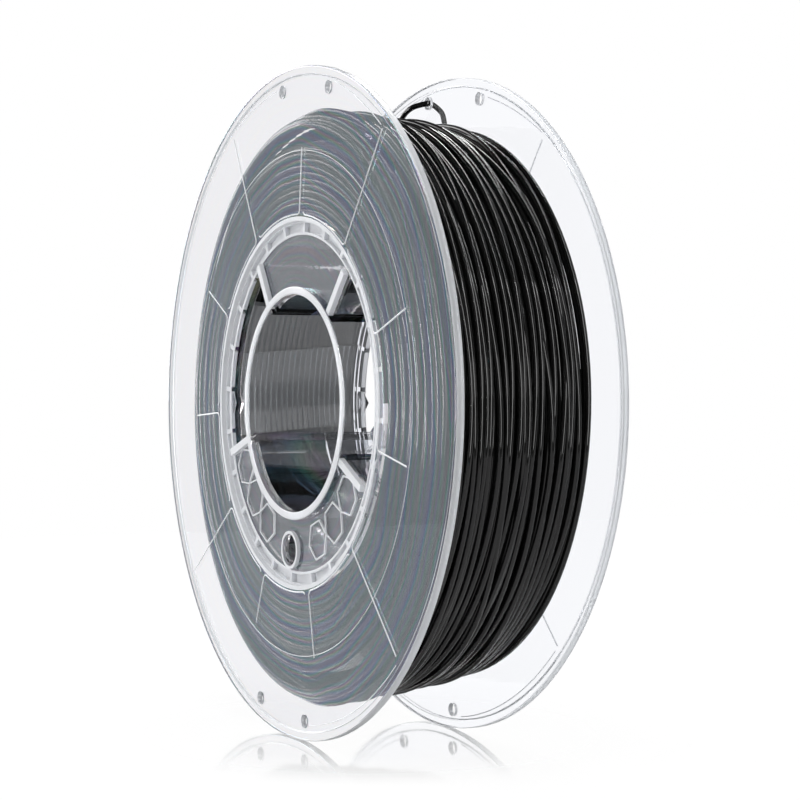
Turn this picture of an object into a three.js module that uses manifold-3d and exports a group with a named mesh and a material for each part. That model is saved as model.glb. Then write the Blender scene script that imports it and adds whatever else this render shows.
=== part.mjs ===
// A clear filament spool, wound with black filament and standing upright on its two rims.
// Millimetres, +Z up. The spool turns about Y, its front face looks to -Y, and the origin is its centre.
// Two clear mouldings face each other. Each has a thin flange, a hub with two closed panels and two
// windows, and four drum tongues that run in between the other moulding's tongues.
import * as THREE from "three";
import { mergeVertices } from "three/addons/utils/BufferGeometryUtils.js";
import Module from "manifold-3d";

const wasm = await Module();
wasm.setup();

// Driving dimensions, all of the whole spool first.
const flangeRadius = 100;
const spoolWidth = 53;
const standTurn = 5; // how far the spool has rolled from panel-up, clockwise from the front
const rimFacets = 72; // a multiple of 4, so one flat of the rim lies on the ground
const hubFacets = 60;
const seat = 0.3; // the gap between pieces that touch
const leastDetail = 0.01;
const cut = 1; // how far a cutting shape reaches past what it cuts, and a joined one into its neighbour

// The flange: a thin web with a thicker band round its edge.
const rimBand = 2.6;
const rimThickness = 2.4;
const rimChamfer = 0.4;
const webThickness = 1.6;
const webSetBack = 0.6; // the web lies this far behind the rim's outer face
const threadHoleRadius = 2;
const threadHoleInset = 5.6; // hole centre, in from the edge
const threadHoleSpread = 9.7; // degrees each side of the panels' centre line
const lineCount = 11;
const lineWidth = 0.5;
const lineHeight = 0.25;
const shortLineEnd = 77;
const longLineSteps = [1, 4, 7, 10]; // counted from the top line: these reach the rim band

// The hub: a collar round the bore, two closed panels, and the mouth ring that holds the drum.
const boreRadius = 32.5;
const collarWall = 2.4;
const collarThickness = 2.6;
const drumRadius = 55.3;
const drumWall = 2.4;
const mouthRingWall = 5;
const mouthRingDepth = 3.3;
const mouthRingLedge = 1; // how far the web overlaps the mouth ring, which it leaves open to the front
const panelThickness = 1.6;
const panelWallThickness = 2.2;
const panelWallGap = 0.6; // between the two mouldings' panel walls, which meet at mid-width
const upperPanelHalfAngle = 38.5;
const lowerPanelHalfAngle = 68.5;
const pocketCount = 24;
const pocketDepth = 1.2;
const pocketWall = 1.2;
const bossLength = 9;
const bossWall = 2;
const bossLip = 1;
const bossClearance = 2.6; // between the collar and the boss, which fills the rest of the panel
const bossSink = 0.8; // how far the boss runs into the mouth ring
const cellSidesAcross = 3; // between the collar and the mouth ring
const cellRib = 0.8;
const cellRibHeight = 0.5;
const cellAngles = [-57, -41, -25, 25, 41, 57]; // from the lower panel's centre line
const noseLength = 9;
const noseHeight = 3.5;
const noseStep = 0.6; // it starts this far behind the mouth ring's face
const noseAngle = 5; // below the level of the axis

// The drum: eight tongues in a ring, every other one from the front moulding.
const tongueCount = 8;
const tongueSlit = 1.2;
const tongueTaper = 2; // degrees that each edge leans in towards the tip
const tongueFacets = 9;
const frontTongueAngle = 82.5;

// The winding: a packed core under one outer layer of open turns.
const filamentRadius = 0.875;
const windingFrontRadius = 88;
const windingRearRadius = 84.6;
const windingTurns = 21;
const stepsPerTurn = 24;
const strandSides = 6;
const leastTurnGap = 0.4;
const endRidges = 8; // on each end face, where each one stands for two turns side by side
const endRidgeHeight = 0.9;
const coreFacets = 36;

// The free end: it leaves the last turn, goes out through a thread hole and turns down behind.
const freeEndLeaves = 126; // degrees where the last turn ends
const freeEndBend = 4.2; // how far before the hole it starts to rise out of the flat
const freeEndArch = 0.6;
const freeEndBehind = [[1.6, 1.6, -2.6], [4, 1.6, -7], [8, 0.6, -17]]; // from the hole: x, out, z
const freeEndSteps = 28;
const freeEndSides = 8;

// Worked-out places along the axis, from the front face inwards.
const halfWidth = spoolWidth / 2;
const webFront = -halfWidth + webSetBack;
const webBack = webFront + webThickness;
const rimBack = -halfWidth + rimThickness;
const mouthRingBack = webBack + mouthRingDepth;
const bandInner = flangeRadius - rimBand;
const collarRadius = boreRadius + collarWall;
const mouthRingInner = drumRadius - mouthRingWall;
const panelBack = webBack + panelThickness;
const panelWallBack = -panelWallGap / 2;
const wallEnd = mouthRingInner - seat;
const threadHoleCircle = flangeRadius - threadHoleInset;
const windingHalf = -webBack - seat;
const coreInner = drumRadius + seat;
const bossInner = collarRadius + bossClearance;
const bossRadius = (mouthRingInner + bossSink - bossInner) / 2;
const bossCircle = bossInner + bossRadius;
const bossHoleRadius = bossRadius - bossWall;
const cellCircle = (collarRadius + mouthRingInner) / 2;
const cellSide = (mouthRingInner - collarRadius) / cellSidesAcross;

const clear = new THREE.MeshStandardMaterial({
  color: 0xf2f3f7,
  roughness: 0.08,
  metalness: 0,
  transparent: true,
  opacity: 0.35,
});
const filament = new THREE.MeshStandardMaterial({ color: 0x141414, roughness: 0.32, metalness: 0 });

// ---- Solids ----
const radians = THREE.MathUtils.degToRad;
const corner = (radius, facets) => radius / Math.cos(Math.PI / facets);

// A point at a radius and an angle, in degrees from +X towards +Z, at a place along the axis.
const around = (radius, degrees, y) =>
  new THREE.Vector3(radius * Math.cos(radians(degrees)), y, radius * Math.sin(radians(degrees)));

// A closed geometry as a solid that can be joined and cut.
function solidOf(geometry) {
  const bare = geometry.clone();
  bare.deleteAttribute("normal");
  bare.deleteAttribute("uv");
  const merged = mergeVertices(bare, 1e-4);
  return new wasm.Manifold(
    new wasm.Mesh({
      numProp: 3,
      vertProperties: merged.attributes.position.array,
      triVerts: new Uint32Array(merged.index.array),
    }),
  );
}

// Points closer together than this become one, so that no face is thinner.
function meshOf(name, solid, material) {
  const made = solid.asOriginal().simplify(leastDetail).getMesh();
  const geometry = new THREE.BufferGeometry();
  geometry.setAttribute("position", new THREE.BufferAttribute(made.vertProperties, 3));
  geometry.setIndex(new THREE.BufferAttribute(made.triVerts, 1));
  geometry.computeVertexNormals();
  const mesh = new THREE.Mesh(geometry, material);
  mesh.name = name;
  return mesh;
}

// A profile of (radius, y) points turned about the axis, with a flat at the bottom.
function turned(profile, facets) {
  const points = profile.map(([radius, y]) => new THREE.Vector2(corner(radius, facets), y));
  points.push(points[0].clone());
  return solidOf(new THREE.LatheGeometry(points, facets, Math.PI / facets));
}

const ring = (inner, outer, from, to, facets) =>
  turned([[inner, from], [outer, from], [outer, to], [inner, to]], facets);

// A shape in (x, z), as seen from the front, made solid between two places along the axis.
function slab(shape, from, to, curveSegments = 12) {
  const options = { depth: to - from, bevelEnabled: false, curveSegments };
  const geometry = new THREE.ExtrudeGeometry(shape, options);
  geometry.rotateX(Math.PI / 2);
  geometry.translate(0, to, 0);
  return solidOf(geometry);
}

// A slice of a ring between two angles, in degrees from +X towards +Z, with the ring's own facets.
function sector(inner, outer, fromAngle, toAngle, from, to) {
  const wedge = new THREE.Shape();
  const sides = Math.ceil((toAngle - fromAngle) / 45);
  wedge.moveTo(0, 0);
  for (let i = 0; i <= sides; i++) {
    const turn = radians(THREE.MathUtils.lerp(fromAngle, toAngle, i / sides));
    wedge.lineTo(2 * outer * Math.cos(turn), 2 * outer * Math.sin(turn));
  }
  wedge.closePath();
  return ring(inner, outer, from, to, hubFacets).intersect(slab(wedge, from - cut, to + cut));
}

// A straight bar that points out from the axis at an angle.
function spoke(inner, outer, angle, width, from, to) {
  const shape = new THREE.Shape();
  shape.moveTo(inner, -width / 2);
  shape.lineTo(outer, -width / 2);
  shape.lineTo(outer, width / 2);
  shape.lineTo(inner, width / 2);
  shape.closePath();
  return slab(shape, from, to).rotate([0, -angle, 0]);
}

function disc(radius, circle, angle, from, to, sides) {
  const shape = new THREE.Shape();
  const turn = radians(angle);
  shape.absarc(circle * Math.cos(turn), circle * Math.sin(turn), radius, 0, 2 * Math.PI);
  return slab(shape, from, to, sides);
}

// ---- The flange: web, rim band, four thread holes and the fine raised lines ----
function makeFlange(name) {
  const webInner = drumRadius - mouthRingLedge;
  let flange = turned(
    [
      [webInner, webFront],
      [bandInner, webFront],
      [bandInner, -halfWidth],
      [flangeRadius - rimChamfer, -halfWidth],
      [flangeRadius, -halfWidth + rimChamfer],
      [flangeRadius, rimBack - rimChamfer],
      [flangeRadius - rimChamfer, rimBack],
      [bandInner, rimBack],
      [bandInner, webBack],
      [webInner, webBack],
    ],
    rimFacets,
  );
  for (let step = 0; step < lineCount; step++) {
    const end = longLineSteps.includes(step) ? bandInner + seat : shortLineEnd;
    const angle = 90 + (step * 360) / lineCount;
    const line = spoke(drumRadius, end, angle, lineWidth, webFront - lineHeight, webFront + lineHeight);
    flange = flange.add(line);
  }
  for (const centre of [90, 270])
    for (const side of [-1, 1]) {
      const angle = centre + side * threadHoleSpread;
      flange = flange.subtract(
        disc(threadHoleRadius, threadHoleCircle, angle, -halfWidth - cut, webBack + cut, 16),
      );
    }
  return meshOf(name, flange, clear);
}

// ---- The hub: collar, panels, mouth ring, boss, cells and latch noses ----
// The middle angle of a panel's side wall, just inside the panel's edge.
const wallInset = THREE.MathUtils.radToDeg((panelWallThickness / 2 + seat) / collarRadius);
const wallAngles = (centre, halfAngle) => [centre - halfAngle + wallInset, centre + halfAngle - wallInset];

// A closed panel between the collar and the mouth ring, with a low wall along each window.
function makePanel(centre, halfAngle) {
  const from = centre - halfAngle;
  const to = centre + halfAngle;
  let panel = sector(boreRadius, mouthRingInner + cut, from, to, webBack, panelBack);
  for (const angle of wallAngles(centre, halfAngle))
    panel = panel.add(
      spoke(collarRadius - cut, wallEnd, angle, panelWallThickness, webFront, panelBack),
    );
  return panel;
}

// The walls behind a panel: an arc along the bore and a straight wall at each window, which reach
// to mid-width, where they meet the other moulding's.
function makeWalls(name, centre, halfAngle) {
  const from = centre - halfAngle;
  const to = centre + halfAngle;
  let walls = sector(boreRadius, collarRadius, from, to, panelBack, panelWallBack);
  for (const angle of wallAngles(centre, halfAngle))
    walls = walls.add(
      spoke(collarRadius - cut, wallEnd, angle, panelWallThickness, panelBack, panelWallBack),
    );
  return meshOf(name, walls, clear);
}

// One cell of the honeycomb on the lower panel, a raised six-sided outline.
function cell(angle, from, to) {
  const outline = new THREE.Shape();
  const hole = new THREE.Path();
  for (let i = 0; i < 6; i++) {
    const draw = i === 0 ? "moveTo" : "lineTo";
    const centre = around(cellCircle, angle, 0);
    const outer = around(cellSide, angle + 60 * i, 0).add(centre);
    const inner = around(cellSide - cellRib, angle + 60 * i, 0).add(centre);
    outline[draw](outer.x, outer.z);
    hole[draw](inner.x, inner.z);
  }
  outline.closePath();
  hole.closePath();
  outline.holes.push(hole);
  return slab(outline, from, to);
}

// The small three-cornered catch that stands in a window on the mouth ring's inside.
function latchNose(angle) {
  const shape = new THREE.Shape();
  shape.moveTo(mouthRingInner + cut, -noseLength / 2);
  shape.lineTo(mouthRingInner + cut, noseLength / 2);
  shape.lineTo(mouthRingInner - noseHeight, 0);
  shape.closePath();
  return slab(shape, webBack + noseStep, mouthRingBack).rotate([0, -angle, 0]);
}

function makeHub(name) {
  let hub = ring(boreRadius, collarRadius, -halfWidth, -halfWidth + collarThickness, hubFacets);
  hub = hub.add(ring(mouthRingInner, drumRadius, webBack, mouthRingBack, hubFacets));
  hub = hub.add(makePanel(90, upperPanelHalfAngle));
  hub = hub.add(makePanel(270, lowerPanelHalfAngle));
  hub = hub.add(disc(bossRadius, bossCircle, 270, webBack, webBack + bossLength, 20));
  const lipRadius = bossHoleRadius + bossLip;
  hub = hub.add(disc(lipRadius, bossCircle, 270, webBack - bossLip, webBack + cut, 20));
  for (const offset of cellAngles)
    hub = hub.add(cell(270 + offset, webBack - cellRibHeight, webBack + cut));
  for (const angle of [180 + noseAngle, -noseAngle]) hub = hub.add(latchNose(angle));
  hub = hub.subtract(disc(bossHoleRadius, bossCircle, 270, -halfWidth, 0, 20));
  const pocketStep = 360 / pocketCount;
  const pocketHalf = pocketStep / 2 - THREE.MathUtils.radToDeg(pocketWall / 2 / drumRadius);
  for (let i = 0; i < pocketCount; i++) {
    const angle = (i + 0.5) * pocketStep;
    hub = hub.subtract(
      sector(
        mouthRingInner + pocketWall,
        drumRadius - pocketWall,
        angle - pocketHalf,
        angle + pocketHalf,
        webBack - cut,
        webBack + pocketDepth,
      ),
    );
  }
  return meshOf(name, hub, clear);
}

// ---- The drum tongues: curved bars, narrower at the tip, that reach to the far mouth ring ----
function makeTongue(name, angle) {
  const root = mouthRingBack;
  const tip = -mouthRingBack - seat;
  const half = 180 / tongueCount - THREE.MathUtils.radToDeg(tongueSlit / 2 / drumRadius);
  const positions = [];
  const index = [];
  for (let i = 0; i <= tongueFacets; i++) {
    const share = (2 * i) / tongueFacets - 1;
    const atRoot = angle + share * (half + tongueTaper);
    const atTip = angle + share * (half - tongueTaper);
    positions.push(
      ...around(drumRadius, atRoot, root),
      ...around(drumRadius, atTip, tip),
      ...around(drumRadius - drumWall, atTip, tip),
      ...around(drumRadius - drumWall, atRoot, root),
    );
  }
  for (let i = 0; i < tongueFacets; i++)
    for (let k = 0; k < 4; k++) {
      const a = 4 * i + k;
      const b = 4 * i + ((k + 1) % 4);
      index.push(a, b, b + 4, a, b + 4, a + 4);
    }
  const end = 4 * tongueFacets;
  index.push(0, 2, 1, 0, 3, 2, end, end + 1, end + 2, end, end + 2, end + 3);
  const geometry = new THREE.BufferGeometry();
  geometry.setAttribute("position", new THREE.Float32BufferAttribute(positions, 3));
  geometry.setIndex(index);
  return meshOf(name, solidOf(geometry), clear);
}

// One moulding: everything is drawn as the front one, and the rear one is turned about.
function makeMoulding(side, tongueStart) {
  const moulding = new THREE.Group();
  moulding.add(
    makeFlange(side + "_flange"),
    makeHub(side + "_hub"),
    makeWalls(side + "_upper_walls", 90, upperPanelHalfAngle),
    makeWalls(side + "_lower_walls", 270, lowerPanelHalfAngle),
  );
  for (let i = 0; i < tongueCount / 2; i++)
    moulding.add(makeTongue(`${side}_tongue_${i + 1}`, tongueStart + (i * 720) / tongueCount));
  return moulding;
}

// ---- The winding ----
const turnTravel = windingHalf - filamentRadius;
const turnRadius = (y) => {
  const share = (y + windingHalf) / (2 * windingHalf);
  return THREE.MathUtils.lerp(windingFrontRadius, windingRearRadius, share) - filamentRadius;
};

// The core's end faces are ridged, as the turns beside the flanges are. Its outside stays clear of
// the outer turns' straight steps, which cut inside the round, with its own corners allowed for.
function makeCore() {
  const stepSag = windingFrontRadius * (1 - Math.cos(Math.PI / stepsPerTurn));
  const cornerRise = corner(windingFrontRadius, coreFacets) - windingFrontRadius;
  const under = filamentRadius + stepSag + cornerRise + seat;
  const endFace = (crest) => {
    const valley = crest - Math.sign(crest) * endRidgeHeight;
    const points = [];
    for (let i = 0; i <= 2 * endRidges; i++) {
      const share = i / (2 * endRidges);
      const radius = THREE.MathUtils.lerp(coreInner, turnRadius(valley) - under, share);
      points.push([radius, i % 2 ? crest : valley]);
    }
    return points;
  };
  return turned([...endFace(-windingHalf), ...endFace(windingHalf).reverse()], coreFacets);
}

// A closed tube through a list of points, with flat ends.
function tube(points, radius, sides) {
  const positions = [];
  const index = [];
  const tangentAt = (i) => {
    const next = points[Math.min(i + 1, points.length - 1)];
    return next.clone().sub(points[Math.max(i - 1, 0)]).normalize();
  };
  const side = new THREE.Vector3(0, 1, 0).cross(tangentAt(0)).normalize();
  points.forEach((point, i) => {
    const tangent = tangentAt(i);
    side.addScaledVector(tangent, -side.dot(tangent)).normalize();
    const other = new THREE.Vector3().crossVectors(tangent, side);
    for (let k = 0; k < sides; k++) {
      const turn = (2 * Math.PI * k) / sides;
      const edge = point.clone().addScaledVector(side, radius * Math.cos(turn));
      positions.push(...edge.addScaledVector(other, radius * Math.sin(turn)));
    }
  });
  for (let i = 0; i + 1 < points.length; i++)
    for (let k = 0; k < sides; k++) {
      const a = i * sides + k;
      const b = i * sides + ((k + 1) % sides);
      index.push(a, b, b + sides, a, b + sides, a + sides);
    }
  const last = (points.length - 1) * sides;
  for (let k = 1; k + 1 < sides; k++) {
    index.push(0, k + 1, k);
    index.push(last, last + k, last + k + 1);
  }
  const geometry = new THREE.BufferGeometry();
  geometry.setAttribute("position", new THREE.Float32BufferAttribute(positions, 3));
  geometry.setIndex(index);
  geometry.computeVertexNormals();
  return geometry;
}

// The outer layer runs clockwise as it goes back, and ends where the free end leaves it.
function turnPoints() {
  const count = windingTurns * stepsPerTurn;
  const points = [];
  for (let i = 0; i <= count; i++) {
    const y = THREE.MathUtils.lerp(-turnTravel, turnTravel, i / count);
    const angle = freeEndLeaves + (360 * (count - i)) / stepsPerTurn;
    points.push(around(turnRadius(y), angle, y));
  }
  return points;
}

// The least distance between two stretches of the layer at least half a turn apart, less a strand.
function leastGap(points) {
  let least = Infinity;
  const far = stepsPerTurn / 2;
  for (let i = 0; i < points.length; i++)
    for (let k = i + far; k < Math.min(points.length, i + 2 * stepsPerTurn); k++)
      least = Math.min(least, points[i].distanceTo(points[k]));
  return least - 2 * filamentRadius;
}

// The free end in points: off the last turn, up to the thread hole, through it and down behind.
function freeEndPoints(start, direction) {
  const hole = around(threadHoleCircle, 90 + threadHoleSpread, -webBack);
  const back = halfWidth + filamentRadius + seat;
  const first = start.clone().addScaledVector(direction, seat);
  const off = first.clone().addScaledVector(direction, 2 * filamentRadius);
  const rise = hole.clone().add(new THREE.Vector3(-freeEndBend, -freeEndBend, -freeEndBend / 2));
  const middle = first.clone().lerp(rise, 0.5).add(new THREE.Vector3(0, 0, freeEndArch));
  const inHole = new THREE.Vector3(hole.x, halfWidth - seat, hole.z);
  const behind = freeEndBehind.map(([x, out, z]) => new THREE.Vector3(hole.x + x, back + out, hole.z + z));
  const path = [first, off, middle, rise, hole, inHole, ...behind];
  return new THREE.CatmullRomCurve3(path, false, "centripetal").getPoints(freeEndSteps);
}

function makeWinding() {
  const winding = new THREE.Group();
  const turns = turnPoints();
  const gap = leastGap(turns);
  console.log(`outer layer: least gap between turns ${gap.toFixed(3)} mm, over ${leastTurnGap} mm`);
  const end = turns[turns.length - 1];
  const direction = end.clone().sub(turns[turns.length - 2]).normalize();
  const layer = tube(turns, filamentRadius, strandSides);
  const freeEnd = tube(freeEndPoints(end, direction), filamentRadius, freeEndSides);
  winding.add(
    meshOf("winding_core", makeCore(), filament),
    meshOf("winding_outer_layer", solidOf(layer), filament),
    meshOf("filament_free_end", solidOf(freeEnd), filament),
  );
  return winding;
}

// ---- The spool ----
const spool = new THREE.Group();
spool.rotation.y = radians(standTurn);
const rear = makeMoulding("rear", 180 - frontTongueAngle - 360 / tongueCount);
rear.rotation.z = Math.PI;
spool.add(makeMoulding("front", frontTongueAngle), rear, makeWinding());

export default spool;
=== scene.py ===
"""A clear filament spool wound with black filament, standing upright on its two rims.

After the camera, the file follows the spool as it is put together: the filament's free end, the clear
moulding and its twin, the winding, and then the table it stands on and the room. Places are worked out
in millimetres and degrees. An angle runs from +X towards +Z, as seen from the front face, which looks
to -Y.
"""

import math
import random

import bmesh
import bpy
from mathutils import Matrix, Vector


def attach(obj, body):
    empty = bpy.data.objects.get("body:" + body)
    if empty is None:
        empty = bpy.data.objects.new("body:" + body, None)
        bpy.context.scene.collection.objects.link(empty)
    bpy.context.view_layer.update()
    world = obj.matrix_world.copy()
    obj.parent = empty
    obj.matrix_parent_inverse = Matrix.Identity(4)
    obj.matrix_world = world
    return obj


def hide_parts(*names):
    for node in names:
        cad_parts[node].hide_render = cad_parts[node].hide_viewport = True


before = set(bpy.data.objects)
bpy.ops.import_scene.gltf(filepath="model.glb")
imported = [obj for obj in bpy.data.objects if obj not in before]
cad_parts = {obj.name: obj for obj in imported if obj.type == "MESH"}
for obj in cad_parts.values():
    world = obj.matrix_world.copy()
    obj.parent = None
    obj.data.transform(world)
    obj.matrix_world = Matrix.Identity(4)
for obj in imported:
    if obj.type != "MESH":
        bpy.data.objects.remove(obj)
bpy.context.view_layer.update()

# ---- Camera ----
# A long lens, level with the spool's axis, that looks along the front flange from its right.
# The picture's principal point lies a little left of its middle, which the lens shift gives.
picture_side = 800
focal_length_in_pixels = 1980.4
axis_pixel = (369.7, 403.2)
camera_azimuth = math.radians(62.787)
camera_elevation = math.radians(0.066)
camera_distance = 0.6041

lens = bpy.data.cameras.new("camera")
lens.sensor_width = 36.0
lens.lens = focal_length_in_pixels * lens.sensor_width / picture_side
lens.shift_x = (picture_side / 2 - axis_pixel[0]) / picture_side
lens.shift_y = (axis_pixel[1] - picture_side / 2) / picture_side
lens.clip_start = 0.01
camera = bpy.data.objects.new("camera", lens)
bpy.context.scene.collection.objects.link(camera)
camera.location = camera_distance * Vector(
    (
        math.sin(camera_azimuth) * math.cos(camera_elevation),
        -math.cos(camera_azimuth) * math.cos(camera_elevation),
        math.sin(camera_elevation),
    )
)
camera.rotation_euler = (math.pi / 2 - camera_elevation, 0, camera_azimuth)
bpy.context.scene.camera = camera

# ---- Free end of the filament ----
# The last 66 mm of the black 1.75 mm strand, which was extruded and cooled in the air. It springs off
# the last turn, is pushed out through a thread hole of the rear flange and bends down behind it, where
# it ends in a plain cut.
mm = 0.001
filament_diameter = 1.75
filament_black = 0x0D0D0D
free_end_route = [
    (-42.92, 23.13, 72.01),
    (-41.82, 23.15, 72.89),
    (-36.59, 22.64, 76.60),
    (-27.46, 21.61, 82.78),
    (-18.03, 19.98, 88.86),
    (-13.78, 19.74, 91.43),
    (-11.25, 20.51, 92.77),
    (-9.69, 21.69, 93.42),
    (-7.73, 24.30, 94.08),
    (-7.76, 25.93, 94.16),
    (-7.29, 27.66, 93.22),
    (-6.37, 29.28, 91.35),
    (-5.26, 29.49, 88.96),
    (-3.93, 29.19, 85.51),
    (-1.25, 28.27, 76.45),
]
strand_roughness = (0.04, 0.09)
strand_ior = 1.43  # of the polymer, a little lower than solid PLA's
gloss_patch = 6.0  # mm, over which the strand's gloss drifts
die_line = 0.35  # mm, between the faint lines that the nozzle leaves along it
die_line_depth = 0.02  # mm


def linear(hex_colour):
    """An sRGB hex colour as linear red, green, blue and alpha."""
    channels = [(hex_colour >> shift & 255) / 255 for shift in (16, 8, 0)]
    return [c / 12.92 if c <= 0.04045 else ((c + 0.055) / 1.055) ** 2.4 for c in channels] + [1.0]


def add_node(tree, kind, inputs=(), **settings):
    """Adds a node. An input is a value or another node's output."""
    made = tree.nodes.new(kind)
    for name, value in settings.items():
        setattr(made, name, value)
    for socket, value in dict(inputs).items():
        if isinstance(value, bpy.types.NodeSocket):
            tree.links.new(value, made.inputs[socket])
        else:
            made.inputs[socket].default_value = value
    return made


# Extruded PLA, cooled in the air: a deep black that is even and glossy, so that a light draws a thin
# bright line along each strand, and that the nozzle has left very finely scored.
filament = bpy.data.materials.new("extruded_black_pla")
filament.use_nodes = True
tree = filament.node_tree
tree.nodes.clear()
place = add_node(tree, "ShaderNodeTexCoord").outputs["Object"]
gloss = add_node(
    tree, "ShaderNodeTexNoise", {"Vector": place, "Scale": 1 / (gloss_patch * mm), "Detail": 2.0}
)
roughness = add_node(
    tree,
    "ShaderNodeMapRange",
    {"Value": gloss.outputs["Fac"], "To Min": strand_roughness[0], "To Max": strand_roughness[1]},
)
lines = add_node(
    tree, "ShaderNodeTexNoise", {"Vector": place, "Scale": 1 / (die_line * mm), "Detail": 1.0}
)
skin = add_node(
    tree,
    "ShaderNodeBump",
    {"Height": lines.outputs["Fac"], "Strength": 0.04, "Distance": die_line_depth * mm},
)
strand_shader = add_node(
    tree,
    "ShaderNodeBsdfPrincipled",
    {
        "Base Color": linear(filament_black),
        "Roughness": roughness.outputs["Result"],
        "IOR": strand_ior,
        "Normal": skin.outputs["Normal"],
    },
)
add_node(tree, "ShaderNodeOutputMaterial", {"Surface": strand_shader.outputs["BSDF"]})


def strand(name, points, diameter, roundness):
    """One unbroken strand through points given in mm, as a round curve with closed ends."""
    curve = bpy.data.curves.new(name, "CURVE")
    curve.dimensions = "3D"
    curve.bevel_depth = diameter / 2 * mm
    curve.bevel_resolution = roundness
    curve.use_fill_caps = True
    spline = curve.splines.new("POLY")
    spline.points.add(len(points) - 1)
    for point, (x, y, z) in zip(spline.points, points):
        point.co = (x * mm, y * mm, z * mm, 1)
    spline.use_smooth = True
    curve.materials.append(filament)
    made = bpy.data.objects.new(name, curve)
    bpy.context.scene.collection.objects.link(made)
    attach(made, "root")
    return made


def eased(route, parts):
    """A route made smooth, with each stretch a curve in so many parts through its neighbours."""
    corners = [Vector(p) for p in route]
    points = []
    for i in range(len(corners) - 1):
        before, start = corners[max(i - 1, 0)], corners[i]
        end, after = corners[i + 1], corners[min(i + 2, len(corners) - 1)]
        for k in range(parts):
            t = k / parts
            points.append(
                0.5
                * (
                    2 * start
                    + (end - before) * t
                    + (2 * before - 5 * start + 4 * end - after) * t**2
                    + (3 * start - before - 3 * end + after) * t**3
                )
            )
    return points + [corners[-1]]


free_end_points = eased(free_end_route, parts=4)
free_end = strand("free_end", free_end_points, filament_diameter, roundness=4)
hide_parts("filament_free_end")

# ---- Clear moulding ----
# Half of the spool, injection moulded in one shot from clear polystyrene: a thin flange with a thicker
# rim band, a hub with two closed panels and two windows, and four drum tongues. The front one is made
# here in one skin, and the rear one is its twin, turned about. They snap together, tongue by tongue.
stand_turn = 5  # degrees that the spool has rolled
flange_radius = 100
half_width = 26.5
rim_band = 2.6
rim_back = -24.1
rim_round = 0.45
rim_bevel = 0.15
web_front = -25.9
web_back = -24.3
web_bevel = 0.25  # where the web meets the rim band
bore_radius = 32.5
collar_radius = 34.9
collar_back = -25.8
collar_round = 0.5
drum_radius = 55.3
drum_wall = 2.4
ring_inner = 50.3  # the mouth ring, which joins the hub to the flange
ring_back = -21.0
ring_face = -24.4
ring_ledge = 54.4
ring_edge = 55.7
ring_bevel = 0.2
panel_back = -22.7
seat = 0.1  # that one form reaches into the next, so that they join in one skin
into_ring = 1.0  # that the panels and the catches reach into the mouth ring
polished, satin, textured, matt = 0, 1, 2, 3  # the moulding's four finishes


def closed(bm, name, finish=polished):
    """A mesh object, with its faces turned outwards and all in one finish."""
    bmesh.ops.recalc_face_normals(bm, faces=bm.faces)
    for face in bm.faces:
        face.material_index = finish
    mesh = bpy.data.meshes.new(name)
    bm.to_mesh(mesh)
    bm.free()
    made = bpy.data.objects.new(name, mesh)
    bpy.context.scene.collection.objects.link(made)
    return made


def turn_outline(bm, outline, start=0.0, sweep=360.0, step=1.5):
    """Turns an outline of (radius, y) corners about the axis, all the way round or part of it."""
    corners = [bm.verts.new((r * mm, y * mm, 0)) for r, y in outline]
    face = bm.faces.new(corners)
    begin = Matrix.Rotation(math.radians(-start), 4, "Y")
    bmesh.ops.transform(bm, matrix=begin, verts=corners)
    full = sweep == 360.0
    geometry = list(face.edges) if full else [face, *face.edges, *corners]
    if full:
        bm.faces.remove(face)
        geometry = [e for e in bm.edges if e.verts[0] in corners and e.verts[1] in corners]
    bmesh.ops.spin(
        bm,
        geom=geometry,
        axis=(0, -1, 0),
        cent=(0, 0, 0),
        angle=math.radians(sweep),
        steps=math.ceil(sweep / step),
        use_merge=full,
    )


def turned(outline, finish=polished, **sweep):
    """A piece turned about the axis."""
    bm = bmesh.new()
    turn_outline(bm, outline, **sweep)
    return closed(bm, "turned", finish)


def bar(bm, inner, outer, angle, width, front, back):
    """A straight bar that points out from the axis."""
    size = Matrix.Diagonal(((outer - inner) * mm, (back - front) * mm, width * mm, 1))
    centre = Matrix.Translation(((inner + outer) / 2 * mm, (front + back) / 2 * mm, 0))
    turn = Matrix.Rotation(math.radians(-angle), 4, "Y")
    bmesh.ops.create_cube(bm, size=1, matrix=turn @ centre @ size)


def pin(bm, radius, circle, angle, front, back, segments=64):
    """A round pin along the axis, with its centre out on a circle."""
    turn = Matrix.Rotation(math.radians(-angle), 4, "Y")
    centre = Matrix.Translation((circle * mm, (front + back) / 2 * mm, 0))
    along = Matrix.Rotation(math.pi / 2, 4, "X")
    bmesh.ops.create_cone(
        bm,
        cap_ends=True,
        segments=segments,
        radius1=radius * mm,
        radius2=radius * mm,
        depth=(back - front) * mm,
        matrix=turn @ centre @ along,
    )


def merge(base, tool, operation="UNION"):
    """Joins a tool to the base, or cuts it out, and leaves one closed skin."""
    change = base.modifiers.new("merge", "BOOLEAN")
    change.object = tool
    change.operation = operation
    change.solver = "MANIFOLD"
    graph = bpy.context.evaluated_depsgraph_get()
    mesh = bpy.data.meshes.new_from_object(base.evaluated_get(graph))
    base.modifiers.clear()
    base.data = mesh
    bpy.data.objects.remove(tool)


def rounded(centre, radius, start, steps=4):
    """A quarter of a small circle in an outline, from a start angle in degrees."""
    turns = [math.radians(start + 90 * i / steps) for i in range(steps + 1)]
    return [(centre[0] + radius * math.cos(t), centre[1] + radius * math.sin(t)) for t in turns]


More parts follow.
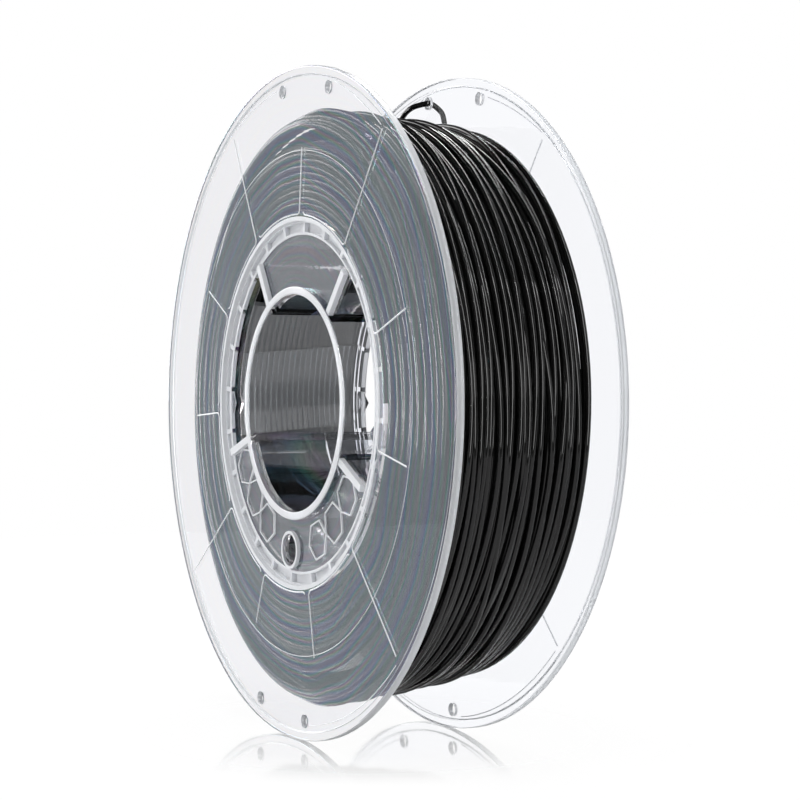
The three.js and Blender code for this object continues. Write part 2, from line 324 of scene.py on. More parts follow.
# The flange and the mouth ring, turned as one outline. The rim's corners are rounded in four steps.
rim_inner = flange_radius - rim_band
front = turned(
    [
        (ring_ledge, web_front),
        (ring_edge, web_front),
        (rim_inner - web_bevel, web_front),
        (rim_inner, web_front - web_bevel),
        (rim_inner, -half_width + rim_bevel),
        (rim_inner + rim_bevel, -half_width),
        *rounded((flange_radius - rim_round, -half_width + rim_round), rim_round, -90),
        *rounded((flange_radius - rim_round, rim_back - rim_round), rim_round, 0),
        (rim_inner + rim_bevel, rim_back),
        (rim_inner, web_back),
        (drum_radius, web_back),
        (drum_radius, ring_back),
        (ring_inner, ring_back),
        (ring_inner, ring_face + ring_bevel),
        (ring_inner + ring_bevel, ring_face),
        (ring_ledge, ring_face),
    ]
)
front.name = "front_moulding"
for finish in ("polished", "satin", "textured", "matt"):
    front.data.materials.append(bpy.data.materials.new(finish))

# Two closed panels, set back between the collar and the mouth ring, and the collar round the bore.
panels = ((51.5, 128.5), (201.5, 338.5))  # degrees from which to which the upper and the lower one run
panel_inset = 0.4  # from the bore
for from_angle, to_angle in panels:
    outline = [
        (ring_inner + into_ring, web_back + seat),
        (ring_inner + into_ring, panel_back),
        (bore_radius + panel_inset, panel_back),
        (bore_radius + panel_inset, web_back + seat),
    ]
    merge(front, turned(outline, start=from_angle, sweep=to_angle - from_angle))
outline = [
    *rounded((bore_radius + collar_round, -half_width + collar_round), collar_round, 180),
    *rounded((collar_radius - collar_round, -half_width + collar_round), collar_round, 270),
    (collar_radius, collar_back),
    (bore_radius, collar_back),
]
merge(front, turned(outline, finish=textured))

# Behind each panel a wall runs along the bore, drawn in by the mould's taper, and a straight one along
# each window. A straight wall shows as a frosted bar in front, and so does its end in the mouth ring.
panel_wall = 2.2
panel_wall_back = -0.3
bar_back = -23.9  # behind which the straight walls are polished
bar_foot = 0.9  # that the straight walls reach into the collar and the mouth ring
bar_step = 0.15  # below the web's face
for from_angle, to_angle in panels:
    outline = [
        (bore_radius + 0.02, web_front),
        (collar_radius - seat, web_front),
        (collar_radius - 0.3, panel_wall_back),
        (bore_radius + 0.3, panel_wall_back),
    ]
    merge(front, turned(outline, start=from_angle, sweep=to_angle - from_angle))
    inset = math.degrees((panel_wall / 2 + seat) / collar_radius)
    for angle in (from_angle + inset, to_angle - inset):
        bm = bmesh.new()
        bar(
            bm,
            collar_radius - bar_foot,
            ring_inner - 0.3,
            angle,
            panel_wall,
            web_front + bar_step,
            panel_wall_back,
        )
        merge(front, closed(bm, "wall", textured))
        bm = bmesh.new()
        bar(
            bm,
            ring_inner - bar_foot,
            ring_inner + 1.3,
            angle,
            panel_wall - seat,
            ring_face + ring_bevel,
            ring_back - seat,
        )
        merge(front, closed(bm, "wall_end", textured))

# Fine raised lines on the flange, half round. Each of the eleven starts in an arc round the hub, bends
# outwards and runs towards the rim, and the arc ends in a small hook just short of the next line.
# Four of them reach the rim, where finer arcs run beside the thread holes. A very fine circle crosses
# the lines half way out.
line_width = 0.52
line_ends = (76, 94.9, 74, 75, 94.9, 73, 76, 94.9, 74, 76, 94.9)
arc_circle = 56.3
arc_gap = 2.4  # degrees from the hook to the next line
bend_radius = 1.6
hair_width = 0.32
hair_circle = 95.4
hair_drift = 1.2  # that a fine arc drifts outwards along its way
hair_arcs = ((58, 78), (102, 122), (222, 258), (282, 318))  # degrees
fine_circle = 75.2
fine_circle_width = 0.7 * hair_width
line_step = 360 / len(line_ends)


def on_face(radius, angle):
    """A point on the flange's outer face."""
    turn = math.radians(angle)
    return radius * math.cos(turn), web_front, radius * math.sin(turn)


def raised(paths, width, ring=False):
    """Half-round lines on the flange's face, along paths of points."""
    curve = bpy.data.curves.new("raised", "CURVE")
    curve.dimensions = "3D"
    curve.bevel_depth = width / 2 * mm
    curve.bevel_resolution = 1
    curve.use_fill_caps = True
    for path in paths:
        spline = curve.splines.new("POLY")
        spline.use_cyclic_u = ring
        spline.points.add(len(path) - 1)
        for point, (x, y, z) in zip(spline.points, path):
            point.co = (x * mm, y * mm, z * mm, 1)
    drawn = bpy.data.objects.new("raised", curve)
    mesh = bpy.data.meshes.new_from_object(drawn)
    bpy.data.objects.remove(drawn)
    bm = bmesh.new()
    bm.from_mesh(mesh)
    bmesh.ops.remove_doubles(bm, verts=bm.verts, dist=0.001 * mm)
    merge(front, closed(bm, "raised", textured))


bend = math.degrees(bend_radius / arc_circle)
arc = line_step - arc_gap - 2 * bend
paths = []
for number, end in enumerate(line_ends):
    angle = 90 + line_step * number
    path = [on_face(end, angle)]
    for i in range(7):  # the bend
        turn = math.radians(15 * i)
        out = bend_radius * (1 - math.sin(turn))
        path.append(on_face(arc_circle + out, angle + bend * (1 - math.cos(turn))))
    path += [on_face(arc_circle, angle + bend + arc * i / 20) for i in range(1, 21)]
    for i in range(1, 4):  # the hook
        turn = math.radians(20 * i)
        out = bend_radius * (1 - math.cos(turn))
        path.append(on_face(arc_circle + out, angle + bend + arc + bend * math.sin(turn)))
    paths.append(path)
raised(paths, line_width)
paths = []
for start, end in hair_arcs:
    shares = [i / 16 for i in range(17)]
    paths.append([on_face(hair_circle + hair_drift * t**2, start + (end - start) * t) for t in shares])
raised(paths, hair_width)
raised([[on_face(fine_circle, 1.5 * i) for i in range(240)]], fine_circle_width, ring=True)

# The honeycomb on the lower panel: six-sided cells outlined by ribs.
panel_middle = 270  # degrees, of the lower panel
cell_angles = (-57, -41, -25, 25, 41, 57)  # from the panel's middle
cell_circle = 42.6
cell_side = 6.2
rib_width = 0.5
rib_height = 0.45
for radius, front_y, back_y, operation in (
    (cell_side, web_back - rib_height, web_back + 0.6, "UNION"),
    (cell_side - rib_width, web_back - 2, web_back + 0.08, "DIFFERENCE"),
):
    bm = bmesh.new()
    for angle in cell_angles:
        pin(bm, radius, cell_circle, panel_middle + angle, front_y, back_y, segments=6)
    merge(front, closed(bm, "cells", textured if operation == "UNION" else polished), operation)

# The hollow boss on the lower panel: a wide tube behind it and a narrow lip in front.
boss_circle = 44.3
boss_radius = 6.8
boss_hole_radius = 4.8
boss_lip = 0.9
boss_back = -15.3
for radius, front_y, back_y in (
    (boss_radius, web_back + 0.2, boss_back),
    (boss_hole_radius + boss_lip, web_back - 1, web_back + 1),
):
    bm = bmesh.new()
    pin(bm, radius, boss_circle, panel_middle, front_y, back_y)
    merge(front, closed(bm, "boss", textured))

# A small three-cornered catch stands in each window, on the mouth ring's inside.
nose_angles = (185, -5)
nose_length = 9
nose_height = 3.5
for angle in nose_angles:
    bm = bmesh.new()
    corners = [
        bm.verts.new((r * mm, (web_back + 0.6) * mm, z * mm))
        for r, z in (
            (ring_inner + into_ring, -nose_length / 2),
            (ring_inner + into_ring, nose_length / 2),
            (ring_inner - nose_height, 0),
        )
    ]
    made = bmesh.ops.extrude_face_region(bm, geom=[bm.faces.new(corners)])["geom"]
    moved = [v for v in made if isinstance(v, bmesh.types.BMVert)]
    bmesh.ops.translate(bm, verts=moved, vec=(0, (ring_back - web_back - 0.8) * mm, 0))
    bmesh.ops.transform(bm, matrix=Matrix.Rotation(math.radians(-angle), 4, "Y"), verts=bm.verts)
    merge(front, closed(bm, "catch"))

# Four drum tongues, narrower at the tip, that run in between the other moulding's tongues.
tongue_middles = (82.5, 172.5, 262.5, 352.5)
tongue_tip = 20.7
tongue_slit = 1.2
tongue_taper = 2  # degrees
half_tongue = 360 / 16 - math.degrees(tongue_slit / 2 / drum_radius)
for middle in tongue_middles:
    bm = bmesh.new()
    outline = [
        (drum_radius - 0.02, ring_back - 1),
        (drum_radius - 0.02, tongue_tip),
        (drum_radius - drum_wall, tongue_tip),
        (drum_radius - drum_wall, ring_back - 1),
    ]
    turn_outline(bm, outline, start=middle - half_tongue, sweep=2 * half_tongue)
    for vert in bm.verts:
        share = (vert.co.y / mm - ring_back) / (tongue_tip - ring_back)
        own = math.degrees(math.atan2(vert.co.z, vert.co.x)) - middle
        own = (own + 180) % 360 - 180
        lean = tongue_taper * (1 - 2 * share) * own / half_tongue
        vert.co = Matrix.Rotation(math.radians(-lean), 3, "Y") @ vert.co
    merge(front, closed(bm, "tongue", satin))

# What the mould's cores leave open: thread holes, the boss's hole and the mouth ring's pockets. Two
# small gate marks are broken out of the rim.
hole_radius = 2
hole_circle = 94.4
hole_angles = (80.3, 99.7, 260.3, 279.7)
bm = bmesh.new()
for angle in hole_angles:
    pin(bm, hole_radius, hole_circle, angle, -half_width - 1, web_back + 1, segments=48)
merge(front, closed(bm, "thread_holes"), "DIFFERENCE")
bm = bmesh.new()
pin(bm, boss_hole_radius, boss_circle, panel_middle, -half_width, 0)
merge(front, closed(bm, "boss_hole", textured), "DIFFERENCE")
pocket_depth = 1.5
pocket_wall = 0.8
pocket_step = 15
pocket_half = pocket_step / 2 - math.degrees(pocket_wall / drum_radius)
bm = bmesh.new()
for i in range(360 // pocket_step):
    outline = [
        (ring_inner + pocket_wall, web_back - 3),
        (ring_inner + pocket_wall, ring_face + pocket_depth),
        (ring_ledge - 0.5, ring_face + pocket_depth),
        (ring_ledge - 0.5, web_back - 3),
    ]
    turn_outline(bm, outline, (i + 0.5) * pocket_step - pocket_half, 2 * pocket_half)
merge(front, closed(bm, "pockets", textured), "DIFFERENCE")
gate_angles = (86.4, 100.3)
gate_width = 1.6
gate_depth = 0.3
bm = bmesh.new()
for angle in gate_angles:
    inner, outer = flange_radius - gate_depth, flange_radius + 1
    bar(bm, inner, outer, angle, gate_width, -half_width - 1, rim_back - 0.8)
merge(front, closed(bm, "gate_marks", textured), "DIFFERENCE")

# The mould is roughened where it shapes the mouth ring, the collar's end and the thread holes, has a
# satin finish behind the panels and on the collar's walls, and is matt on the rim's edge.
for face in front.data.polygons:
    radius = math.hypot(face.center.x, face.center.z) / mm
    depth = face.center.y / mm
    faces_out = face.normal.y < -0.5
    upright = abs(face.normal.y) < 0.9  # a wall along the axis, or nearly
    if radius > rim_inner - 0.3 and upright:
        face.material_index = matt
    elif abs(radius - hole_circle) < hole_radius + 0.2 and upright:
        face.material_index = textured
    elif ring_inner - 0.1 < radius < ring_edge and depth < ring_face + pocket_depth + 0.1:
        face.material_index = textured if faces_out or radius > ring_inner + 0.4 else polished
    elif radius < collar_radius + 0.1 and depth < collar_back + 0.1:
        face.material_index = textured if faces_out else satin
    elif collar_radius < radius < ring_inner and face.normal.y > 0.5 and abs(depth - panel_back) < 0.1:
        face.material_index = satin
    elif radius < ring_inner and depth > bar_back and face.material_index == textured:
        face.material_index = polished

# Clear injection-moulded polystyrene: polished faces that a light passes straight through, a faint
# cold grey, a wave in the surface as wide as a finger, and in its reflections the pale rainbow that
# the stress frozen into the sheet gives, drawn as a film of uneven thickness.
clear_tint = 0xF5F6FA
gloss_tint = 0xDEF0FD  # of what it mirrors
polystyrene_ior = 1.59
wave = 18.0  # mm
wave_height = 0.05  # mm
rainbow_ring = 11.0  # mm
film_ior = 1.76
film_thickness = (330.0, 760.0)  # nm


def clear_plastic(name, tint, roughness, ripple, height, strength):
    """The clear plastic with one finish, whose ripples are so many mm wide and high."""
    material = bpy.data.materials.new(name)
    material.use_nodes = True
    tree = material.node_tree
    tree.nodes.clear()
    place = add_node(tree, "ShaderNodeTexCoord").outputs["Object"]
    ripples = add_node(
        tree, "ShaderNodeTexNoise", {"Vector": place, "Scale": 1 / (ripple * mm), "Detail": 2.0}
    )
    surface = add_node(
        tree,
        "ShaderNodeBump",
        {"Height": ripples.outputs["Fac"], "Strength": strength, "Distance": height * mm},
    )
    shader = add_node(
        tree,
        "ShaderNodeBsdfPrincipled",
        {
            "Base Color": linear(tint),
            "Roughness": roughness,
            "IOR": polystyrene_ior,
            "Transmission Weight": 1.0,
            "Normal": surface.outputs["Normal"],
        },
    )
    add_node(tree, "ShaderNodeOutputMaterial", {"Surface": shader.outputs["BSDF"]})
    return material, tree, place, shader


clear, tree, place, shader = clear_plastic(
    "moulded_clear_polystyrene",
    clear_tint,
    roughness=0.02,
    ripple=wave,
    height=wave_height,
    strength=0.3,
)
stress = add_node(
    tree,
    "ShaderNodeTexWave",
    {
        "Vector": place,
        "Scale": 2 * math.pi / (20 * rainbow_ring * mm),
        "Distortion": 5.0,
        "Detail": 2.0,
        "Detail Scale": 0.6,
    },
    wave_type="RINGS",
    rings_direction="Y",
)
film = add_node(
    tree,
    "ShaderNodeMapRange",
    {"Value": stress.outputs["Fac"], "To Min": film_thickness[0], "To Max": film_thickness[1]},
)
shader.inputs["Thin Film IOR"].default_value = film_ior
shader.inputs["Specular Tint"].default_value = linear(gloss_tint)
tree.links.new(film.outputs["Result"], shader.inputs["Thin Film Thickness"])

# The same plastic with a satin finish, on the drum tongues and behind the panels: a thin haze that
# lightens these parts, and a ripple that the tight strands have pressed into the drum.
satin_tint = 0xF2F4F7
satin_grain = 1.5  # mm
pressed_pitch = 1.92  # mm
pressed_depth = 0.12  # mm
satin_clear, tree, place, shader = clear_plastic(
    "satin_clear_polystyrene",
    satin_tint,
    roughness=0.05,
    ripple=satin_grain,
    height=0.03,
    strength=0.2,
)
shader.inputs["Transmission Weight"].default_value = 0.86
shader.inputs["Specular IOR Level"].default_value = 0.4
ripple = add_node(
    tree,
    "ShaderNodeTexWave",
    {
        "Vector": place,
        "Scale": 2 * math.pi / (20 * pressed_pitch * mm),
        "Distortion": 0.4,
        "Detail Scale": 3.0,
    },
    bands_direction="Y",
)
pressed = add_node(
    tree,
    "ShaderNodeBump",
    {"Height": ripple.outputs["Fac"], "Strength": 0.92, "Distance": pressed_depth * mm},
)
tree.links.new(pressed.outputs["Normal"], shader.inputs["Normal"])

# The same plastic where the mould was roughened by sparks: on the lines and ribs, the mouth ring and
# the collar's end. Its grain scatters the light, so these parts look frosted and bright.
frosted_tint = 0xEFF1F5
spark_grain = 0.4  # mm
spark_depth = 0.05  # mm
frosted, _, _, shader = clear_plastic(
    "spark_textured_polystyrene",
    frosted_tint,
    roughness=0.3,
    ripple=spark_grain,
    height=spark_depth,
    strength=0.35,
)
shader.inputs["Transmission Weight"].default_value = 0.4

# And on the rim's edge, where the mould's two halves meet: matt, with a grain too fine to see, so that
# the edge is a soft light band.
matt_tint = 0xE4E7EB
matt_grain = 0.05  # mm
matt_depth = 0.01  # mm
matt_clear, _, _, shader = clear_plastic(
    "matt_clear_polystyrene",
    matt_tint,
    roughness=0.28,
    ripple=matt_grain,
    height=matt_depth,
    strength=0.2,
)
shader.inputs["Transmission Weight"].default_value = 0.55

# The rear moulding is of the same clear plastic. It stands free in the white of the room and looks
# quite even there, so its gloss is taken down, which a lower IOR does.
even_tint = 0xFBFCFF
even_ior = 1.2
even_clear, _, _, shader = clear_plastic(
    "even_clear_polystyrene",
    even_tint,
    roughness=0.02,
    ripple=wave,
    height=wave_height,
    strength=0.3,
)
shader.inputs["IOR"].default_value = even_ior

for finish, material in enumerate((clear, satin_clear, frosted, matt_clear)):
    front.data.materials[finish] = material
rear = front.copy()
rear.data = front.data.copy()
rear.data.materials[polished] = even_clear
rear.name = "rear_moulding"
bpy.context.scene.collection.objects.link(rear)
sharp_edge = 9  # degrees, from which an edge shows as one
roll = Matrix.Rotation(math.radians(stand_turn), 4, "Y")
front.data.transform(roll)
rear.data.transform(roll @ Matrix.Rotation(math.pi, 4, "Z"))
for moulding, side in ((front, "front"), (rear, "rear")):
    moulding.data.polygons.foreach_set("use_smooth", [True] * len(moulding.data.polygons))
    moulding.data.set_sharp_from_angle(angle=math.radians(sharp_edge))
    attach(moulding, "root")
    walls = [f"{side}_{level}_walls" for level in ("upper", "lower")]
    tongues = [f"{side}_tongue_{i}" for i in range(1, 5)]
    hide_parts(f"{side}_flange", f"{side}_hub", *walls, *tongues)

# ---- Winding ----
# The same black strand, wound to and fro over the drum by a machine until it is about 30 mm deep. What
# shows is its outer layer, with the one below in its gaps, the innermost layer through the drum, and
# both end faces. It is rounded off towards the front flange, and hangs a little low there.
winding_half = 24.1
front_radius = 89.6
rear_radius = 85.3
hangs_low = 1.4  # at the front
oval = 0.9  # at the rear, which is wider than high
shoulder_start = -19.2
shoulder_fall = 8.7  # mm, from the shoulder's start to the flange
shoulder_round = 0.12  # of the shoulder's width
shoulder_oval = 0.34  # it falls more at the sides than at the top
last_turn_ends = 121.0  # degrees
outer_turn_count = 21
outer_start = -18.8
stepping_over = 0.12  # of a turn, in which the strand steps over to the rear flange
leaving = 0.1  # of a turn, in which it rises to its free end, and first rises from the layer below
layer_height = 1.6
strand_half = filament_diameter / 2
reach = winding_half - strand_half - 0.1  # of a strand's middle, each way
random.seed(11)


def surface_radius(angle, y):
    """The winding's own radius, over its strands."""
    share = (y + winding_half) / (2 * winding_half)
    front = front_radius - hangs_low * math.sin(angle)
    rear = rear_radius + oval * math.cos(2 * angle)
    into = max(0.0, (shoulder_start - y) / (shoulder_start + reach))
    fall = shoulder_fall * (1 + shoulder_oval * math.cos(2 * angle))
    return front + (rear - front) * share - fall * (math.hypot(into, shoulder_round) - shoulder_round)


def waver(size, count, fastest):
    """A smooth drift along a strand, which differs a little from each turn to the next.

    Its size is in mm. It adds up so many waves, of which none comes more often a turn than the fastest.
    """
    parts = [
        (
            size * random.uniform(0.6, 1.4) / count**0.5,
            random.randint(1, fastest),
            random.uniform(0, 2 * math.pi),
            random.choice((-1, 1)) * random.uniform(0.7, 2.6),
        )
        for _ in range(count)
    ]
    return lambda turn, angle: sum(a * math.sin(m * angle + p + q * turn) for a, m, p, q in parts)


# Where the outer layer's turns stray and cross: which turn, at what angle, how far round each way, and
# how many mm sideways and outwards.
strays = (
    (2, -64, 40, 1.6, 0.9),
    (4, 34, 50, -1.1, 0.5),
    (6, 20, 45, -1.4, 0.5),
    (8, -52, 36, 1.9, 1.0),
    (10, 48, 50, 1.3, 0.6),
    (11, -30, 60, -1.4, 0.5),
    (13, 64, 40, 1.2, 0.6),
    (14, -56, 40, 1.8, 0.9),
    (16, 14, 50, 1.2, 0.4),
    (18, 62, 44, -1.3, 0.6),
)


def layer(turns, steps, depth, first, end_angle, sideways, outwards, strays=()):
    """A layer of turns from the front to the rear, as points in mm, so deep under the surface."""
    pitch = (reach - first) / turns
    points = []
    for i in range(turns * steps + 1):
        turn = i / steps
        left = turns - turn
        angle = math.radians(end_angle) + 2 * math.pi * left
        freedom = min(1.0, 3 * turn, 3 * left)
        y = first + pitch * turn + freedom * sideways(turn, angle)
        if left < 1:
            y += (reach - y) * min(1.0, (1 - left) / stepping_over)
        lift = outwards(turn, angle) * freedom
        for number, centre, width, aside, out in strays:
            away = (math.degrees(angle) - centre + 180) % 360 - 180
            if int(turn) == number and abs(away) < width:
                swell = 0.5 + 0.5 * math.cos(math.pi * away / width)
                y += aside * swell
                lift += out * swell
        y = max(-reach, min(reach, y))
        radius = surface_radius(angle, y) + lift - depth - strand_half
        if left < leaving:
            end_radius = math.hypot(free_end_route[0][0], free_end_route[0][2])
            radius += (end_radius - radius) * (1 - left / leaving)
        if turn < leaving:
            radius -= layer_height * (1 - turn / leaving)
        points.append((radius * math.cos(angle), y, radius * math.sin(angle)))
    return points


outer_turns = strand(
    "outer_turns",
    layer(
        turns=outer_turn_count,
        steps=120,
        depth=0.0,
        first=outer_start,
        end_angle=last_turn_ends,
        sideways=waver(0.75, 9, 6),
        outwards=waver(0.3, 8, 6),
        strays=strays,
    ),
    filament_diameter,
    roundness=3,
)
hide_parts("winding_outer_layer")
strand(
    "under_turns",
    layer(
        turns=outer_turn_count,
        steps=90,
        depth=layer_height,
        first=outer_start - 0.2,
        end_angle=last_turn_ends + 180,
        sideways=waver(0.3, 6, 4),
        outwards=waver(0.15, 5, 4),
    ),
    filament_diameter,
    roundness=2,
)

# The end faces, against the flanges. Each turn lies in a circle for most of its way round, and then
# steps out to the next. Every second one lies a little deeper, because the layers end in turn at the
# flange and half a strand short of it.
end_pitch = 1.86
end_inner = drum_radius + 1.2
rear_margin = 1.9  # left free under the outer layer at the rear
step_angle = 48  # degrees, where the turns step out
step_width = 0.16  # of a turn
step_share = 0.7  # of the pitch: the strand drifts out by the rest on its way round
least_depth = 0.15
sunk_depth = 0.75
front_last_turn = -20.6  # y where the front end turns meet the outer layer
rear_last_turn = reach - 0.01  # and the rear ones, at the flange


def end_face(side, last_y, steps=96):
    """The turns of one end face, over its flat part and its shoulder, up to the outer layer."""
    margin = rear_margin if side > 0 else 0
    flat = surface_radius(0, side * reach) - strand_half - end_inner - margin
    rise = surface_radius(0, last_y) - surface_radius(0, side * reach)
    slope = math.hypot(last_y - side * reach, rise)
    turns = int((flat + slope) / end_pitch)
    radial = waver(0.34, 7, 4)
    deep = waver(0.3, 6, 4)
    points = []
    for i in range(turns * steps + 1):
        whole, part = divmod(i / steps, 1)
        angle = math.radians(step_angle) + 2 * math.pi * part
        stepped = min(1.0, part / step_width)
        sunk = 0.5 - 0.5 * math.cos(math.pi * (whole + stepped))
        part = stepped * step_share + part * (1 - step_share)
        way = (flat + slope) * (whole + part) / turns
        out = radial(i / steps, angle) * math.sin(math.pi * min(1.0, way / (flat + slope))) ** 0.5
        y = side * reach
        if way < flat:
            radius = end_inner + way - hangs_low * math.sin(angle) * way / flat * (side < 0) + out
            y -= side * max(0.0, least_depth + sunk_depth * sunk + deep(i / steps, angle))
        else:
            y += (last_y - y) * (way - flat) / slope
            radius = surface_radius(angle, y) - strand_half + out
        points.append((radius * math.cos(angle), y, radius * math.sin(angle)))
    return points


strand("front_end_turns", end_face(-1, front_last_turn), filament_diameter, roundness=3)
strand("rear_end_turns", end_face(1, rear_last_turn), filament_diameter, roundness=3)

# The innermost layer lies on the drum, and shows through it from inside the bore.
inner_turn_count = 25
inner_steps = 72  # a turn
inner_reach = 22.9
inner_radius = drum_radius + 1.15
inner_waver = waver(0.18, 5, 4)
inner_points = []
for i in range(inner_turn_count * inner_steps + 1):
    angle = 2 * math.pi * i / inner_steps
    y = -inner_reach + 2 * inner_reach * i / (inner_turn_count * inner_steps)
    y += inner_waver(i / inner_steps, angle)
    inner_points.append((inner_radius * math.cos(angle), y, inner_radius * math.sin(angle)))
strand("inner_turns", inner_points, filament_diameter, roundness=2)

# All that lies between them is packed too deep to be seen as strands.
packed_inner = drum_radius + 1.6
packed_half = winding_half - 2.2
packed = turned(
    [
        (packed_inner, -packed_half),
        (front_radius - shoulder_fall - 3.0, -packed_half),
        (front_radius - 4.8, shoulder_start + 1.6),
        (rear_radius - 3.6, packed_half),
        (packed_inner, packed_half),
    ],
    step=3.0,
)
packed.name = "packed_turns"
packed.data.materials.append(filament)
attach(packed, "root")
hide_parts("winding_core")

# ---- Table ----
# A sheet of polished white acrylic, cast and cut to size, that the spool stands on. It is white from
# any side, with a faint clean mirror image near the spool's foot and the shadow of what stands on it.
# It ends a little beyond the spool at the right, and the room there is dark.
table_size = (1.2, 1.6)  # m
table_right = 0.33
table_shine = 0.7
table_grey = 0.76  # as a gloss shows it
table_white = 0xF2F2F2
table_glow = 0.93  # how much of it is an even white: the rest takes light and shadow
mirror_reach = (0.02, 0.09)  # m from the spool's foot, over which the polish fades

bm = bmesh.new()
bmesh.ops.create_grid(bm, x_segments=1, y_segments=1, size=0.5)
bmesh.ops.scale(bm, verts=bm.verts, vec=(*table_size, 1))
bmesh.ops.translate(bm, verts=bm.verts, vec=(table_right - table_size[0] / 2, 0, -flange_radius * mm))
table = closed(bm, "table")


def seen_direct(tree):
    """1 for a ray that the camera, a gloss or clear plastic sends, and 0 for the light itself."""
    path = add_node(tree, "ShaderNodeLightPath")
    seen = path.outputs["Is Camera Ray"]
    for kind in ("Is Glossy Ray", "Is Transmission Ray"):
        either = {0: seen, 1: path.outputs[kind]}
        seen = add_node(tree, "ShaderNodeMath", either, operation="MAXIMUM").outputs[0]
    return seen


def seen_in_gloss(tree):
    """1 for a ray that a gloss has sent on at least once, and 0 for any other."""
    path = add_node(tree, "ShaderNodeLightPath")
    once = {0: path.outputs["Glossy Depth"], 1: 1.0}
    return add_node(tree, "ShaderNodeMath", once, operation="MINIMUM").outputs[0]


table_top = bpy.data.materials.new("polished_white_acrylic")
table_top.use_nodes = True
tree = table_top.node_tree
tree.nodes.clear()
body = add_node(tree, "ShaderNodeBsdfDiffuse", {"Color": linear(table_white)})
strength = add_node(
    tree, "ShaderNodeMapRange", {"Value": seen_in_gloss(tree), "To Min": 1.0, "To Max": table_grey}
)
glow = add_node(
    tree, "ShaderNodeEmission", {"Color": linear(0xFFFFFF), "Strength": strength.outputs["Result"]}
)
white = add_node(
    tree, "ShaderNodeMixShader", {"Fac": table_glow, 1: body.outputs[0], 2: glow.outputs[0]}
)
mirror = add_node(tree, "ShaderNodeBsdfGlossy", {"Color": linear(0xFFFFFF), "Roughness": 0.06})
spot = add_node(tree, "ShaderNodeTexCoord").outputs["Object"]
foot = (0, 0, -flange_radius * mm)
away = add_node(tree, "ShaderNodeVectorMath", {0: spot, 1: foot}, operation="DISTANCE")
polish = add_node(
    tree,
    "ShaderNodeMapRange",
    {
        "Value": away.outputs["Value"],
        "From Min": mirror_reach[0],
        "From Max": mirror_reach[1],
        "To Min": table_shine,
        "To Max": 0.0,
    },
    interpolation_type="SMOOTHSTEP",
)
shiny = add_node(
    tree,
    "ShaderNodeMixShader",
    {"Fac": polish.outputs["Result"], 1: white.outputs[0], 2: mirror.outputs[0]},
)
surface = add_node(
    tree, "ShaderNodeMixShader", {"Fac": seen_direct(tree), 1: body.outputs[0], 2: shiny.outputs[0]}
)
add_node(tree, "ShaderNodeOutputMaterial", {"Surface": surface.outputs[0]})
table.data.materials.append(table_top)

# ---- Room and lamps ----
# A photographer's room, painted white. Seen straight or through clear plastic it is an even white. In a
# gloss it is white at the left up to a low height, with a light grey screen there, which the front
# flange mirrors, and it is dark above and at the right.
room_light = 0.5
room_dark = 0.06
room_dark_through = 0.45  # the same dark, after clear plastic
dark_side = (1.0, -0.15, 0.0)
dark_from = (-0.35, -0.05)  # over which it turns dark, towards that side
dark_height = (0.22, 0.36)  # over which it turns dark, upwards
screen_side = (-0.889, -0.457, 0.0)
screen_edge = (0.9, 0.96)
screen_grey = 0.72
world = bpy.data.worlds.new("studio_room")
world.use_nodes = True
tree = world.node_tree
tree.nodes.clear()
looking = add_node(tree, "ShaderNodeTexCoord").outputs["Generated"]
height = add_node(tree, "ShaderNodeSeparateXYZ", {"Vector": looking}).outputs["Z"]
overhead = add_node(
    tree,
    "ShaderNodeMapRange",
    {"Value": height, "From Min": dark_height[0], "From Max": dark_height[1]},
    interpolation_type="SMOOTHSTEP",
)
aside = add_node(tree, "ShaderNodeVectorMath", {0: looking, 1: dark_side}, operation="DOT_PRODUCT")
beyond = add_node(
    tree,
    "ShaderNodeMapRange",
    {"Value": aside.outputs["Value"], "From Min": dark_from[0], "From Max": dark_from[1]},
    interpolation_type="SMOOTHSTEP",
)
either = {0: overhead.outputs[0], 1: beyond.outputs[0]}
shade = add_node(tree, "ShaderNodeMath", either, operation="MAXIMUM")
facing = add_node(tree, "ShaderNodeVectorMath", {0: looking, 1: screen_side}, operation="DOT_PRODUCT")
screen = add_node(
    tree,
    "ShaderNodeMapRange",
    {
        "Value": facing.outputs["Value"],
        "From Min": screen_edge[0],
        "From Max": screen_edge[1],
        "To Min": 1.0,
        "To Max": screen_grey,
    },
    interpolation_type="SMOOTHSTEP",
)
path = add_node(tree, "ShaderNodeLightPath")
dark = add_node(
    tree,
    "ShaderNodeMapRange",
    {"Value": path.outputs["Is Transmission Ray"], "To Min": room_dark, "To Max": room_dark_through},
)
mirrored = add_node(
    tree,
    "ShaderNodeMapRange",
    {"Value": shade.outputs[0], "To Min": screen.outputs[0], "To Max": dark.outputs[0]},
)
seen = add_node(
    tree,
    "ShaderNodeMix",
    {"Factor": seen_in_gloss(tree), "A": 1.0, "B": mirrored.outputs[0]},
    data_type="FLOAT",
)
strength = add_node(
    tree,
    "ShaderNodeMix",
    {"Factor": seen_direct(tree), "A": room_light, "B": seen.outputs["Result"]},
    data_type="FLOAT",
)
sky = add_node(
    tree, "ShaderNodeBackground", {"Color": linear(0xFFFFFF), "Strength": strength.outputs["Result"]}
)
add_node(tree, "ShaderNodeOutputWorld", {"Surface": sky.outputs[0]})
bpy.context.scene.world = world


def area_lamp(name, radiance, size, place):
    """A soft oblong lamp that points at the spool, with its size and its place in metres."""
    lamp = bpy.data.lights.new(name, "AREA")
    lamp.shape = "RECTANGLE"
    lamp.size, lamp.size_y = size
    lamp.energy = radiance * math.pi * size[0] * size[1]
    made = bpy.data.objects.new(name, lamp)
    made.location = place
    made.rotation_euler = (-Vector(place)).to_track_quat("-Z", "Y").to_euler()
    made.visible_camera = False
    bpy.context.scene.collection.objects.link(made)
    return made


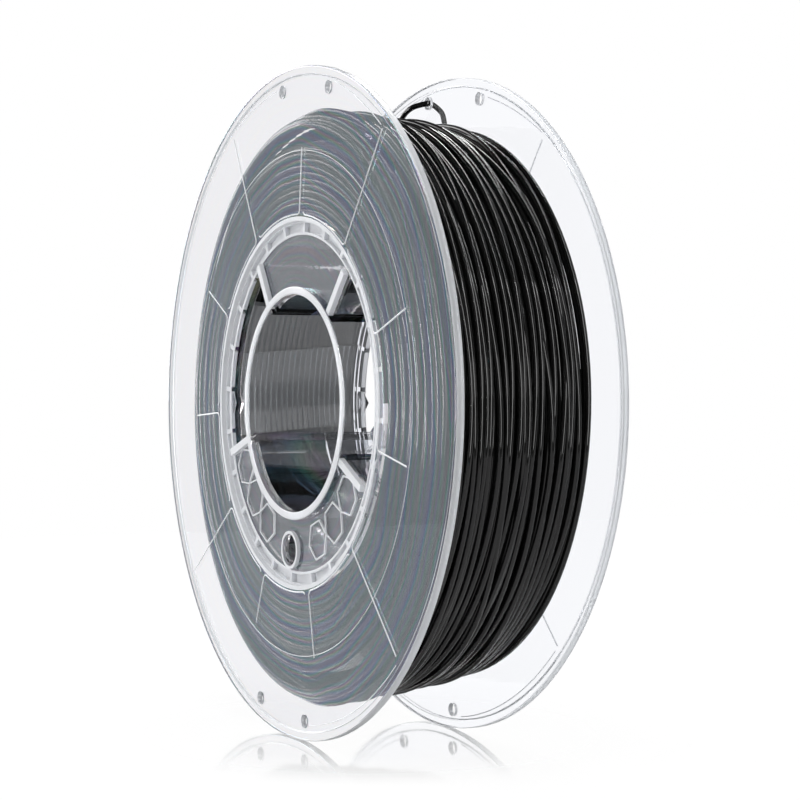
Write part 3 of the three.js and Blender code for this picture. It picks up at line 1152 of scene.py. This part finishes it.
# Lamps that only show in a gloss, so that the table has one soft shadow. Each gives one of the lines or
# sheens of the photograph, and the last word says if it also shows through clear plastic.
for name, radiance, size, place, shows_through in (
    ("ceiling_lamp", 34.0, (2.6, 0.06), (0.1, 0.25, 1.1), True),  # lines on the tops of the turns
    ("front_lamp", 15.0, (0.85, 0.34), (-0.567, -1.112, 0.065), True),  # end turns at the right
    ("left_lamp", 4.2, (2.3, 0.5), (-1.063, -0.745, 0.64), True),  # end turns at the top
    ("side_lamp", 5.0, (0.55, 0.34), (-1.4, 0.0, 0.17), False),  # the hub's left
    ("right_lamp", 9.0, (0.34, 1.5), (1.229, -0.108, 0.33), True),  # lines down the outer layer
    ("drum_lamp", 1.3, (1.0, 0.28), (1.1, 0.56, 0.2), False),  # a sheen inside the drum
):
    lamp = area_lamp(name, radiance, size, place)
    lamp.visible_diffuse = False
    lamp.visible_transmission = shows_through

# Wide soft lamps that only light, so that the strands stay black.
for name, radiance, size, place in (
    ("soft_front", 2.2, (0.9, 1.3), (-0.2, -1.18, 0.5)),
    ("soft_ceiling", 1.7, (2.4, 2.4), (0.0, 0.1, 1.4)),
    ("soft_left", 1.0, (1.2, 1.2), (-1.4, -0.2, 0.6)),
    ("soft_right", 0.9, (1.2, 1.2), (1.3, -0.1, 0.5)),
):
    lamp = area_lamp(name, radiance, size, place)
    lamp.visible_glossy = False
    lamp.visible_transmission = False

# The front lamp only shows in the gloss of what lies behind clear plastic, and not straight through it.
front_lamp = bpy.data.lights["front_lamp"]
front_lamp.use_nodes = True
tree = front_lamp.node_tree
tree.nodes.clear()
path = add_node(tree, "ShaderNodeLightPath")
both = {0: seen_in_gloss(tree), 1: path.outputs["Transmission Depth"]}
behind = add_node(tree, "ShaderNodeMath", both, operation="MINIMUM")
lit = add_node(tree, "ShaderNodeEmission", {"Color": linear(0xFFFFFF), "Strength": behind.outputs[0]})
add_node(tree, "ShaderNodeOutputLight", {"Surface": lit.outputs[0]})
bpy.context.scene.view_settings.view_transform = "Standard"
